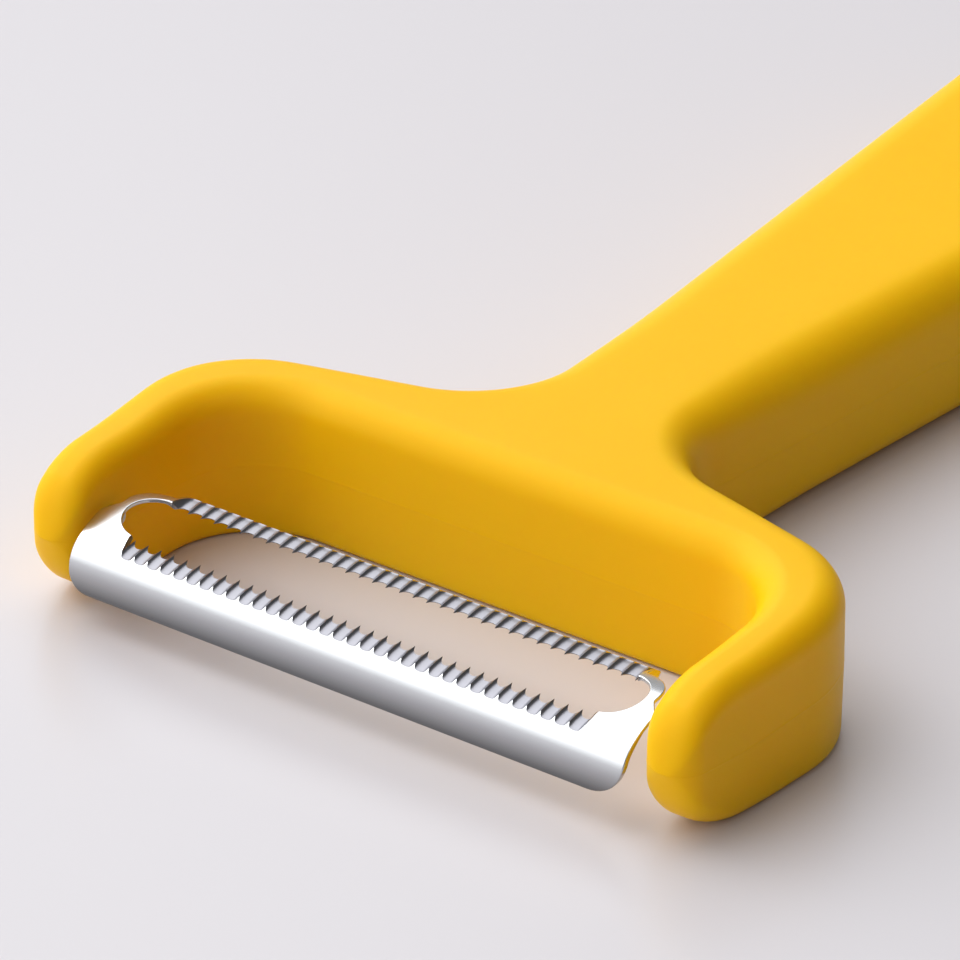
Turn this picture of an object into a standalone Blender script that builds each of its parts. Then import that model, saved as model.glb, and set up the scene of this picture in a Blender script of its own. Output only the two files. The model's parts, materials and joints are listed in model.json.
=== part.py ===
"""Y-shaped vegetable peeler: a moulded yoke frame and a swivelling, arched, double-row toothed blade.

The peeler lies on its flat underside. X runs along the blade, Y from the blade to the end of the
handle, Z up. The origin is on the underside, below the middle of the peeler's length. The sizes
below are measured from the ground and from the blade's pivot line, which runs along X.
"""

import math

import bmesh
import bpy
from mathutils import Vector
from mathutils.geometry import delaunay_2d_cdt

MM = 0.001

# Place of the pivot line in front of the origin, and fit of the blade
PIVOT_AHEAD = 68.0 * MM
PIVOT_HEIGHT = 8.3 * MM
REST_TILT = math.radians(8.0)
PIN_RADIUS = 1.25 * MM
PIN_REACH = 2.6 * MM
PIN_ROOT = 2.0 * MM
PIN_NOSE = 0.5 * MM
PIN_WELD = 0.2 * MM
FIT = 0.3 * MM

# Blade: sheet, arched section and developed outline (S runs across the sheet, 0 on the crown)
SHEET = 0.7 * MM
CROWN_RADIUS = 11.7 * MM
CROWN_HALF_ANGLE = math.radians(23.4)
BEND_RADIUS = 3.4 * MM
LIP_ANGLE = math.radians(84.0)
FRONT_LIP = 2.05 * MM
REAR_LIP = 1.2 * MM
BLADE_HALF = 30.6 * MM
RIGHT_CORNER = 3.7 * MM
LEFT_CORNER = 1.9 * MM
STEP_START = -1.4 * MM
STEP_END = 0.2 * MM
STEP_ROUND = 0.8 * MM
RING = 1.0 * MM
FLANGE_STEP = 3.35 * MM
REAR_CORNER = 2.0 * MM

# Toothed slot: scallops ground into the outer face, square to both edges
TOOTH_PITCH = 1.5 * MM
SLOT_MARGIN = 2.1 * MM
SLOT_HALF = 3.1 * MM
BULB_RADIUS = 2.95 * MM
SCALLOP_LENGTH = 2.6 * MM
SCALLOP_SLOPE = 0.34
SCALLOP_RADIUS = 1.15 * MM
EDGE_LAND = 0.05 * MM

# Frame: plan; the blade lies END_SHIFT to the left within its end play
END_GAP = 0.6 * MM
END_SHIFT = 0.3 * MM
ARM_THICKNESS = 5.4 * MM
TIP_FRONT = 5.8 * MM
TIP_FLAT = 0.1 * MM
ARM_FLARE = math.radians(3.5)
WALL_Y = 18.3 * MM
WALL_CORNER = 9.0 * MM
SHOULDER_Y = 22.0 * MM
SHOULDER_ANGLE = math.radians(15.0)
OUTER_CORNER = 12.5 * MM
NECK_HALF = 8.2 * MM
NECK_RADIUS = 10.0 * MM
HANDLE_TAPER = math.radians(5.3)
HANDLE_END = 142.0 * MM
END_FLAT = 0.5 * MM

# Frame: heights and edges
HEAD_HEIGHT = 15.5 * MM
TIP_DROP = 1.1 * MM
BULB_REACH = 8.0 * MM
BULB_POWER = 2.3
NOSE_SHARE = 0.97
ARM_EDGE = 2.3 * MM
HEAD_EDGE = 2.9 * MM
HANDLE_EDGE = 4.9 * MM
ARM_UNDER_EDGE = 1.1 * MM
HEAD_UNDER_EDGE = 1.8 * MM
HANDLE_UNDER_EDGE = 2.9 * MM
BLEND_FROM = 24.0 * MM
BLEND_TO = 55.0 * MM
EDGE_SHARE = 0.45
SIDE_DRAFT = math.radians(0.6)
HOLE_RADIUS = 3.8 * MM
HOLE_INSET = 13.0 * MM
HOLE_EDGE = 1.2 * MM

# Fineness of the facets
ARC_STEP = math.radians(9.0)
LINE_STEP = 2.5 * MM
EDGE_STEPS = 4
ROUND_SIDES = 24
BEND_STEPS = 5
SCALLOP_COLUMNS = 6
BULB_STEPS = 14
SHARP_ANGLE = math.radians(35.0)


def clear_scene():
    """Start from an empty file."""
    for item in list(bpy.data.objects):
        bpy.data.objects.remove(item, do_unlink=True)


def make_material(name, colour, roughness, metallic):
    """A plain Principled material."""
    material = bpy.data.materials.new(name)
    material.use_nodes = True
    shader = material.node_tree.nodes["Principled BSDF"]
    shader.inputs["Base Color"].default_value = (*colour, 1.0)
    shader.inputs["Roughness"].default_value = roughness
    shader.inputs["Metallic"].default_value = metallic
    material.diffuse_color = (*colour, 1.0)
    return material


def rounded_path(corners, line_step, arc_step):
    """Points of an open path through corners (x, y, radius), each corner rounded by an arc."""
    points = [Vector(corners[0][:2])]
    for index in range(1, len(corners) - 1):
        corner = Vector(corners[index][:2])
        back = (Vector(corners[index - 1][:2]) - corner).normalized()
        ahead = (Vector(corners[index + 1][:2]) - corner).normalized()
        radius = corners[index][2]
        half = back.angle(ahead) / 2
        reach = radius / math.tan(half)
        centre = corner + (back + ahead).normalized() * radius / math.sin(half)
        start = corner + back * reach
        add_line(points, start, line_step)
        sweep = math.pi - 2 * half
        steps = max(2, math.ceil(sweep / arc_step))
        turn = math.copysign(sweep, -back.cross(ahead))
        arm = start - centre
        for step in range(1, steps + 1):
            angle = turn * step / steps
            spun = Vector((arm.x * math.cos(angle) - arm.y * math.sin(angle),
                           arm.x * math.sin(angle) + arm.y * math.cos(angle)))
            points.append(centre + spun)
    add_line(points, Vector(corners[-1][:2]), line_step)
    return points


def add_line(points, target, line_step):
    """Extend the path to target in equal steps."""
    origin = points[-1]
    length = (target - origin).length
    if length < 1e-9:
        return
    steps = max(1, math.ceil(length / line_step))
    for step in range(1, steps + 1):
        points.append(origin.lerp(target, step / steps))


def mirrored_loop(right, left):
    """Close a right half outline with the mirror image of a left one; both start and end on X = 0."""
    return right + [Vector((-point.x, point.y)) for point in left[-2:0:-1]]


def frame_outline():
    """Plan outline of the frame, from the middle of the inner wall round an arm to the handle's end."""
    inner = BLADE_HALF + END_GAP
    tip_outer = inner + ARM_THICKNESS
    tip_corner = ARM_THICKNESS / 2 - TIP_FLAT
    outer = tip_outer + math.tan(ARM_FLARE) * (SHOULDER_Y + TIP_FRONT)
    # the shoulder line runs from the outer corner to the neck, the handle's side on from there
    neck_y = SHOULDER_Y + math.tan(SHOULDER_ANGLE) * (outer - NECK_HALF)
    end_half = NECK_HALF + math.tan(HANDLE_TAPER) * (HANDLE_END - neck_y)
    end_radius = (end_half - END_FLAT) * math.tan((math.pi / 2 - HANDLE_TAPER) / 2)
    half = rounded_path([
        (0.0, WALL_Y),
        (inner, WALL_Y, WALL_CORNER),
        (inner, -TIP_FRONT, tip_corner),
        (tip_outer, -TIP_FRONT, tip_corner),
        (outer, SHOULDER_Y, OUTER_CORNER),
        (NECK_HALF, neck_y, NECK_RADIUS),
        (end_half, HANDLE_END, end_radius),
        (0.0, HANDLE_END),
    ], LINE_STEP, ARC_STEP)
    return mirrored_loop(half, half)


def smooth(value, low, high):
    """Smooth step from 0 at low to 1 at high."""
    share = min(1.0, max(0.0, (value - low) / (high - low)))
    return share * share * (3 - 2 * share)


def height_range(y):
    """Lowest and highest level of the frame at y: round at the arm tips, then the head, flat below."""
    rise = smooth(y, BULB_REACH - TIP_FRONT, WALL_Y)
    top = HEAD_HEIGHT - TIP_DROP * (1 - rise)
    ahead = BULB_REACH - TIP_FRONT - y
    if ahead <= 0:
        return 0.0, top
    share = min(NOSE_SHARE, ahead / BULB_REACH)
    squeeze = (1 - share ** BULB_POWER) ** (1 / BULB_POWER)
    middle = (HEAD_HEIGHT - TIP_DROP) / 2
    return middle * (1 - squeeze), middle * (1 + squeeze)


def edge_radius(y, side):
    """Radius of the upper or lower rounded edge, larger on the handle than on the head."""
    arm, head, handle = (ARM_EDGE, HEAD_EDGE, HANDLE_EDGE) if side > 0 else (
        ARM_UNDER_EDGE, HEAD_UNDER_EDGE, HANDLE_UNDER_EDGE)
    arm = min(arm, ARM_THICKNESS / 2 - 2 * TIP_FLAT - math.tan(SIDE_DRAFT) * HEAD_HEIGHT / 2)
    widened = arm + (head - arm) * smooth(y, BULB_REACH - TIP_FRONT, WALL_Y)
    return widened + (handle - head) * smooth(y, BLEND_FROM, BLEND_TO)


def outline_normals(loop):
    """Outward plan normals of a loop that runs with the solid on its left."""
    normals = []
    count = len(loop)
    for index in range(count):
        along = (loop[(index + 1) % count] - loop[index - 1]).normalized()
        normals.append(Vector((along.y, -along.x)))
    return normals


def frame_rings():
    """Rings of the frame's skin from the underside up: rounded edge, drafted side, rounded edge."""
    loop = frame_outline()
    if signed_area(loop) < 0:
        loop.reverse()
    normals = outline_normals(loop)
    quarter = [math.pi / 2 * step / EDGE_STEPS for step in range(EDGE_STEPS + 1)]
    levels = [(angle, -1) for angle in quarter] + [(None, 0)] + [(angle, 1) for angle in reversed(quarter)]
    rings = []
    for angle, side in levels:
        ring = []
        for point, normal in zip(loop, normals):
            radius = edge_radius(point.y, side)
            low, high = height_range(point.y)
            side_height = max(0.0, (high - low) / 2 - radius)
            inset = 0.0
            if angle is not None:
                inset = math.tan(SIDE_DRAFT) * side_height + radius * (1 - math.sin(angle))
            place = point - normal * inset
            low, high = height_range(place.y)
            drop = min(radius, EDGE_SHARE * (high - low))
            if side < 0:
                level = low + drop * (1 - math.cos(angle))
            elif side > 0:
                level = high - drop * (1 - math.cos(angle))
            else:
                level = (low + high) / 2
            ring.append(Vector((place.x, place.y, level)))
        rings.append(ring)
    return rings


def signed_area(loop):
    """Area of a plan loop, positive when it runs anticlockwise."""
    total = 0.0
    for index, point in enumerate(loop):
        total += loop[index - 1].cross(point)
    return total / 2


def inside(point, loop):
    """True when the point lies inside the loop."""
    result = False
    for index, corner in enumerate(loop):
        before = loop[index - 1]
        if (corner.y > point.y) != (before.y > point.y):
            cross = (before.x - corner.x) * (point.y - corner.y) / (before.y - corner.y) + corner.x
            if point.x < cross:
                result = not result
    return result


def fill_plan(points, edges, outer, holes=()):
    """Constrained triangles over the region inside the outer loop and outside the holes."""
    scale = 1 / MM
    flat = [point * scale for point in points]
    found = delaunay_2d_cdt(flat, edges, [], 0, 1e-5)
    places = [Vector(point) / scale for point in found[0]]
    faces = []
    for face in found[2]:
        middle = sum((places[index] for index in face), Vector((0, 0))) / len(face)
        if inside(middle, outer) and not any(inside(middle, hole) for hole in holes):
            faces.append(face)
    return places, faces


def loop_edges(start, count):
    """Edges of a closed loop of count vertices that begins at index start."""
    return [(start + step, start + (step + 1) % count) for step in range(count)]


def mesh_object(name, mesh_data, material, parent):
    """Link a new object made of a bmesh, and hang it on its parent empty."""
    mesh = bpy.data.meshes.new(name)
    mesh_data.to_mesh(mesh)
    mesh_data.free()
    mesh.materials.append(material)
    mesh.shade_smooth()
    mesh.set_sharp_from_angle(angle=SHARP_ANGLE)
    item = bpy.data.objects.new(name, mesh)
    bpy.context.scene.collection.objects.link(item)
    item.parent = parent
    return item


def empty_object(name, location, parent=None):
    """Link a new empty, which carries a group of pieces."""
    item = bpy.data.objects.new(name, None)
    bpy.context.scene.collection.objects.link(item)
    item.location = location
    item.parent = parent
    return item


def frame_shell():
    """The frame's closed skin as a bmesh, before the sockets and the hanging hole are cut."""
    rings = frame_rings()
    shell = bmesh.new()
    rows = [[shell.verts.new(place) for place in ring] for ring in rings]
    count = len(rows[0])
    for lower, upper in zip(rows, rows[1:]):
        for index in range(count):
            following = (index + 1) % count
            shell.faces.new((lower[index], lower[following], upper[following], upper[index]))
    for row, ring, flip in ((rows[0], rings[0], True), (rows[-1], rings[-1], False)):
        plan = [place.to_2d() for place in ring]
        _, faces = fill_plan(plan, loop_edges(0, count), plan)
        for face in faces:
            corners = [row[index] for index in face]
            if flip:
                corners.reverse()
            shell.faces.new(corners)
    return shell


def turned(profile, axis_point, axis):
    """Solid of revolution from (radius, along) pairs, closed by discs at both ends."""
    data = bmesh.new()
    turn = axis.to_track_quat("Z", "Y").to_matrix()
    rows = []
    for radius, along in profile:
        row = []
        for side in range(ROUND_SIDES):
            angle = 2 * math.pi * side / ROUND_SIDES
            local = Vector((radius * math.cos(angle), radius * math.sin(angle), along))
            row.append(data.verts.new(axis_point + turn @ local))
        rows.append(row)
    for lower, upper in zip(rows, rows[1:]):
        for side in range(ROUND_SIDES):
            following = (side + 1) % ROUND_SIDES
            data.faces.new((lower[side], lower[following], upper[following], upper[side]))
    data.faces.new(list(reversed(rows[0])))
    data.faces.new(rows[-1])
    return data


def boolean(target, tool, operation):
    """Add a Boolean of the tool to the target, and hide the tool as a guide."""
    modifier = target.modifiers.new(tool.name, "BOOLEAN")
    modifier.operation = operation
    modifier.solver = "EXACT"
    modifier.object = tool
    tool.hide_render = True
    tool.display_type = "WIRE"


def build_frame(material, base):
    """Frame: two arms, bridge and handle in one moulding, with blind pivot sockets and a hanging hole."""
    frame = mesh_object("frame", frame_shell(), material, base)
    inner = BLADE_HALF + END_GAP
    for side, word in ((1, "right"), (-1, "left")):
        mouth = Vector((side * (inner - FIT), 0.0, PIVOT_HEIGHT))
        depth = PIN_REACH + END_SHIFT + FIT
        profile = [(PIN_RADIUS + FIT, 0.0), (PIN_RADIUS + FIT, depth + FIT)]
        cutter = turned(profile, mouth, Vector((side, 0.0, 0.0)))
        boolean(frame, mesh_object("socket_cut_" + word, cutter, material, base), "DIFFERENCE")
    rim = [math.pi / 2 * step / EDGE_STEPS for step in range(EDGE_STEPS + 1)]
    flare = [(HOLE_RADIUS + HOLE_EDGE * (1 - math.cos(angle)), HOLE_EDGE * (1 - math.sin(angle)))
             for angle in reversed(rim)]
    beyond = HOLE_RADIUS + HOLE_EDGE
    profile = [(beyond, -MM)] + flare
    profile += [(radius, HEAD_HEIGHT - along) for radius, along in reversed(flare)]
    profile += [(beyond, HEAD_HEIGHT + MM)]
    centre = Vector((0.0, HANDLE_END - HOLE_INSET, 0.0))
    cutter = turned(profile, centre, Vector((0.0, 0.0, 1.0)))
    boolean(frame, mesh_object("hole_cut", cutter, material, base), "DIFFERENCE")
    return frame


def section_lengths():
    """Developed distance from the crown to the ends of the crown arc and of the bend."""
    crown = CROWN_RADIUS * CROWN_HALF_ANGLE
    return crown, crown + BEND_RADIUS * (LIP_ANGLE - CROWN_HALF_ANGLE)


def section(across):
    """Place (y, z) and outward normal of the sheet's outer face at a developed distance."""
    crown_end, bend_end = section_lengths()
    length = abs(across)
    turn = min(length, crown_end) / CROWN_RADIUS
    y = CROWN_RADIUS * math.sin(turn)
    z = -CROWN_RADIUS * (1 - math.cos(turn))
    if length > crown_end:
        angle = CROWN_HALF_ANGLE + (min(length, bend_end) - crown_end) / BEND_RADIUS
        y += BEND_RADIUS * (math.sin(angle) - math.sin(turn))
        z -= BEND_RADIUS * (math.cos(turn) - math.cos(angle))
        turn = angle
    if length > bend_end:
        y += (length - bend_end) * math.cos(turn)
        z -= (length - bend_end) * math.sin(turn)
    side = math.copysign(1.0, across)
    return side * y, z, side * math.sin(turn), math.cos(turn)


def sag(offset):
    """How far the scallop's round wall rises at an offset from its middle."""
    return SCALLOP_RADIUS - math.sqrt(SCALLOP_RADIUS ** 2 - offset ** 2)


def tooth_count():
    """Number of whole scallops that fit between the slot's round ends."""
    return int(2 * (BLADE_HALF - SLOT_MARGIN - BULB_RADIUS) / TOOTH_PITCH)


def row_half():
    """Half the length of a toothed row."""
    return TOOTH_PITCH * tooth_count() / 2


def scallop_middle(x):
    """Middle of the scallop nearest to x."""
    first = TOOTH_PITCH / 2 - row_half()
    index = min(tooth_count() - 1, max(0, round((x - first) / TOOTH_PITCH)))
    return first + index * TOOTH_PITCH


def scallop_depth(x, across):
    """Depth ground off the outer face at a developed place."""
    start = SLOT_HALF + SCALLOP_LENGTH
    offset = abs(x - scallop_middle(x))
    if offset > TOOTH_PITCH / 2 + 1e-6 or abs(across) > start:
        return 0.0
    depth = SCALLOP_SLOPE * (start - abs(across)) - sag(min(offset, TOOTH_PITCH / 2))
    return min(SHEET - EDGE_LAND, max(0.0, depth))


def scallop_start(offset):
    """Developed distance at which the scallop leaves the outer face, at an offset from its middle."""
    return SLOT_HALF + SCALLOP_LENGTH - sag(offset) / SCALLOP_SLOPE


def scallop_edge(offset):
    """Developed distance of the cutting edge at an offset from the scallop's middle."""
    through = (SHEET - EDGE_LAND + sag(offset)) / SCALLOP_SLOPE
    return max(SLOT_HALF, SLOT_HALF + SCALLOP_LENGTH - through)


def scallop_offsets():
    """Offsets of the columns across one scallop, without the last, which the next scallop shares."""
    return [TOOTH_PITCH * (column / SCALLOP_COLUMNS - 0.5) for column in range(SCALLOP_COLUMNS)]


def toothed_columns():
    """Every column along a toothed edge: (x, start of the scallop, cutting edge)."""
    rows = []
    for tooth in range(tooth_count()):
        middle = (tooth + 0.5) * TOOTH_PITCH - row_half()
        for offset in scallop_offsets():
            rows.append((middle + offset, scallop_start(offset), scallop_edge(offset)))
    last = TOOTH_PITCH / 2
    rows.append((row_half(), scallop_start(last), scallop_edge(last)))
    return rows


def slot_loop():
    """Developed loop of the slot: toothed edges joined by a round end on each side."""
    edge = [Vector((x, -cut)) for x, _, cut in toothed_columns()]
    row_end = row_half()
    bulb = []
    for step in range(1, BULB_STEPS):
        angle = math.pi * (step / BULB_STEPS - 0.5)
        bulb.append(Vector((row_end + BULB_RADIUS * math.cos(angle), BULB_RADIUS * math.sin(angle))))
    far = [Vector((point.x, -point.y)) for point in reversed(edge)]
    near = [Vector((-point.x, -point.y)) for point in bulb]
    return edge + bulb + far + near


def blade_loop():
    """Developed outer outline of the sheet: full front, cut-back rear shoulders, shorter rear flange."""
    bend_end = section_lengths()[1]
    front = -(bend_end + FRONT_LIP)
    rear = bend_end + REAR_LIP
    ring_s = BULB_RADIUS + RING
    ring_x = row_half() + ring_s
    flange_x = ring_x - FLANGE_STEP
    right, left = (rounded_path([
        (0.0, front),
        (BLADE_HALF, front, corner),
        (BLADE_HALF, STEP_START, STEP_ROUND),
        (ring_x, STEP_END, STEP_ROUND),
        (ring_x, ring_s, FLANGE_STEP - FIT),
        (flange_x, ring_s, FIT / 2),
        (flange_x, rear, REAR_CORNER),
        (0.0, rear),
    ], 2 * BLADE_HALF, 2 * ARC_STEP) for corner in (RIGHT_CORNER, LEFT_CORNER))
    return mirrored_loop(right, left)


def bend_lines():
    """Developed distances at which the faceted section changes direction."""
    crown_end, bend_end = section_lengths()
    start = SLOT_HALF + SCALLOP_LENGTH
    lines = [0.0, SLOT_HALF / 2, SLOT_HALF, crown_end, start]
    lines += [start + (bend_end - start) * step / BEND_STEPS for step in range(1, BEND_STEPS + 1)]
    return sorted({-line for line in lines} | set(lines))


def blade_shell():
    """The blade's sheet as a closed bmesh in its own frame, crown up, before the pins are joined."""
    outer = blade_loop()
    if signed_area(outer) < 0:
        outer.reverse()
    slot = slot_loop()
    if signed_area(slot) < 0:
        slot.reverse()
    points = outer + slot
    edges = loop_edges(0, len(outer)) + loop_edges(len(outer), len(slot))

    def add_edge(first, second):
        points.extend((Vector(first), Vector(second)))
        edges.append((len(points) - 2, len(points) - 1))

    for line in bend_lines():
        reach = 2 * BLADE_HALF
        add_edge((-reach, line), (reach, line))
    rows = toothed_columns()
    for side in (-1, 1):
        for first, second in zip(rows, rows[1:]):
            add_edge((first[0], side * first[1]), (second[0], side * second[1]))
        for x, start, cut in rows:
            if start - cut > 1e-7:
                add_edge((x, side * start), (x, side * cut))
    places, faces = fill_plan(points, edges, outer, [slot])
    used = sorted({index for face in faces for index in face})
    shell = bmesh.new()
    top = {}
    bottom = {}
    for index in used:
        x, across = places[index]
        y, z, normal_y, normal_z = section(across)
        depth = scallop_depth(x, across)
        top[index] = shell.verts.new((x, y - depth * normal_y, z - depth * normal_z))
        bottom[index] = shell.verts.new((x, y - SHEET * normal_y, z - SHEET * normal_z))
    borders = {}
    for face in faces:
        shell.faces.new([top[index] for index in face])
        shell.faces.new([bottom[index] for index in reversed(face)])
        for first, second in zip(face, list(face[1:]) + [face[0]]):
            if (second, first) in borders:
                del borders[(second, first)]
            else:
                borders[(first, second)] = True
    for first, second in borders:
        shell.faces.new((top[second], top[first], bottom[first], bottom[second]))
    bmesh.ops.recalc_face_normals(shell, faces=shell.faces)
    return shell


def build_blade(material, base):
    """Blade: the toothed sheet with a round pin under its crown at each end, tilted on its pivot line."""
    pivot = empty_object("blade_pivot", (-END_SHIFT, 0.0, PIVOT_HEIGHT), base)
    pivot.rotation_euler = (REST_TILT, 0.0, 0.0)
    crown = PIN_RADIUS + SHEET - PIN_WELD
    shell = blade_shell()
    bmesh.ops.translate(shell, verts=shell.verts, vec=(0.0, 0.0, crown))
    blade = mesh_object("blade", shell, material, pivot)
    inner = BLADE_HALF + END_GAP
    for side, word in ((1, "right"), (-1, "left")):
        root = Vector((side * (BLADE_HALF - PIN_ROOT), 0.0, 0.0))
        length = inner + PIN_REACH - (BLADE_HALF - PIN_ROOT)
        profile = [(PIN_RADIUS, 0.0), (PIN_RADIUS, length - PIN_NOSE), (PIN_RADIUS - PIN_NOSE, length)]
        pin = turned(profile, root, Vector((side, 0.0, 0.0)))
        boolean(blade, mesh_object("pin_guide_" + word, pin, material, pivot), "UNION")
    return blade


def main():
    """Build the peeler."""
    clear_scene()
    yellow = make_material("yellow_plastic", (0.93, 0.60, 0.02), 0.38, 0.0)
    steel = make_material("polished_steel", (0.72, 0.73, 0.75), 0.16, 1.0)
    base = empty_object("peeler_base", (0.0, -PIVOT_AHEAD, 0.0))
    build_frame(yellow, base)
    build_blade(steel, base)


if __name__ == "__main__":
    main()
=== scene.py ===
"""Looks of a Y-shaped vegetable peeler: moulded yellow frame, polished toothed blade, plain studio.

Lengths are in metres. The frame's origin is on the peeler's underside, X runs along the blade and
Y towards the end of the handle; the sizes below are measured from the blade's pivot line.
"""

import json
import math

import bmesh
import bpy
from mathutils import Matrix, Vector
from mathutils.geometry import delaunay_2d_cdt
from mathutils.kdtree import KDTree


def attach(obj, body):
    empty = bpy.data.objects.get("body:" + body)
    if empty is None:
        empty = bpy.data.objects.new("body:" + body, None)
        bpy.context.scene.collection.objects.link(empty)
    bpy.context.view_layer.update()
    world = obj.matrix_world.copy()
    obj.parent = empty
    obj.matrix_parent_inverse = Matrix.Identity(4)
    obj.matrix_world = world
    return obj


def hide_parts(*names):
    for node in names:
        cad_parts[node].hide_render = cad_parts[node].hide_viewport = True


bl_info = {
    "name": "Vegetable Peeler",
    "version": (1, 0, 0),
    "blender": (4, 5, 0),
    "location": "View3D > Sidebar > Peeler",
    "description": "Builds a Y-shaped vegetable peeler with a swivelling toothed blade",
    "category": "Add Mesh",
}

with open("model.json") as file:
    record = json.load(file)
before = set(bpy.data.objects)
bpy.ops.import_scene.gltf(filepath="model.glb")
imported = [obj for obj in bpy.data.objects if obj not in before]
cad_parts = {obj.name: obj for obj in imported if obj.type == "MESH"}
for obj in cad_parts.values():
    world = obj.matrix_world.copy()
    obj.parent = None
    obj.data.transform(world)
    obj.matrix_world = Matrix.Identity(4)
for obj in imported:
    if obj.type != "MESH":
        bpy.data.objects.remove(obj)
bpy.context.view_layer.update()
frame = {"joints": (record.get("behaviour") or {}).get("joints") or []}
SWIVEL = frame["joints"][0]["pos_m"]

MM = 0.001
UP = Vector((0.0, 0.0, 1.0))

# roundness of the arms' noses, as powers of a rounded curve
UPPER_POWER = 2.3
UNDER_POWER = 2.0
# share of a nose's length past which it stays blunt
NOSE_SHARE = 0.995
# stretch over which the edges grow as round as the handle's
HANDLE_EDGE_START = 24.0 * MM
HANDLE_EDGE_END = 55.0 * MM
# share of the local height that a rounded edge may take
EDGE_LIMIT = 0.48
# rings of the parting line, as (millimetres from its level, share of its height)
PARTING_RINGS = ((-0.3, 0.0), (-0.09, 0.0), (-0.03, 1.0), (0.03, 1.0), (0.09, 0.0), (0.3, 0.0))

# fineness of the frame's mesh
FRAME_LINE = 1.0 * MM
FRAME_ARC = math.radians(4.0)
EDGE_STEPS = 12
CAP_GRID = 2.0 * MM
CAP_CLEARANCE = 0.4 * CAP_GRID
HOLE_SIDES = 64
HOLE_STEPS = 6
ROD_SIDES = 48
FRAME_CREASE = math.radians(40.0)
PIN_CREASE = math.radians(30.0)
# how much more than small faces the large ones count in the frame's shading
FACE_WEIGHT = 100

# steepness of a scallop's wall
SCALLOP_POWER = 3.0
# corner between the rear flange and the metal round the slot
FLANGE_CORNER = 0.15 * MM
FLANGE_STRAIGHT = 0.3 * MM
# stretches over which the sheet gets thinner at the slot's ends, and the inner rim fades out
RELIEF_RUN = 1.0 * MM
RIM_FADE = 0.3 * MM

# fineness of the blade's outlines and rounded rims
BLADE_LINE = 0.6 * MM
BLADE_ARC = math.radians(8.0)
BULB_STEPS = 28
RIM_ANGLES = (math.pi / 2, math.pi / 4, 0.0)
RIM_SLACK = 1.01
# fineness of a tooth: columns along the blade, rows on the ground and on the polished part
TOOTH_COLUMNS = 12
GROUND_ROWS = 7
PLAIN_ROWS = 3
# how closely the ground rows crowd towards the scallop's start
GROUND_CROWDING = 1.6
# polished margin kept round a toothed strip, and half the step that measures the cutting edge's slope
STRIP_MARGIN = 0.2 * MM
EDGE_PROBE = 0.005 * MM
# steps along the last scallop's wall, and the share of its reach that is followed
WALL_STEPS = 6
WALL_SHARE = 0.97
# spacing of the points inside the sheet
GRID_ROW = 0.35 * MM
GRID_COLUMN = 0.7 * MM
GRID_CLEARANCE = 0.6 * GRID_ROW
# halvings that find a scallop's start, and the distance at which points are one
HALVINGS = 30
MERGE = 0.002 * MM

# middle of the room's bright side
BRIGHT_SIDE = Vector((-0.60, -0.62, 0.50)).normalized()


def length(name, millimetres, description):
    """A length property with its default in millimetres."""
    return bpy.props.FloatProperty(name=name, description=description, default=millimetres * MM,
                                   min=0.0, precision=5, subtype="DISTANCE", unit="LENGTH")


def turn(name, degrees, description):
    """An angle property with its default in degrees."""
    return bpy.props.FloatProperty(name=name, description=description, default=math.radians(degrees),
                                   subtype="ANGLE", unit="ROTATION")


def share(name, default, description):
    """A plain number from nothing to one."""
    return bpy.props.FloatProperty(name=name, description=description, default=default, min=0.0, max=1.0)


def colour(name, default, description):
    """A linear colour property."""
    return bpy.props.FloatVectorProperty(name=name, description=description, default=default,
                                         subtype="COLOR", size=3, min=0.0, max=1.0)


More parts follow.
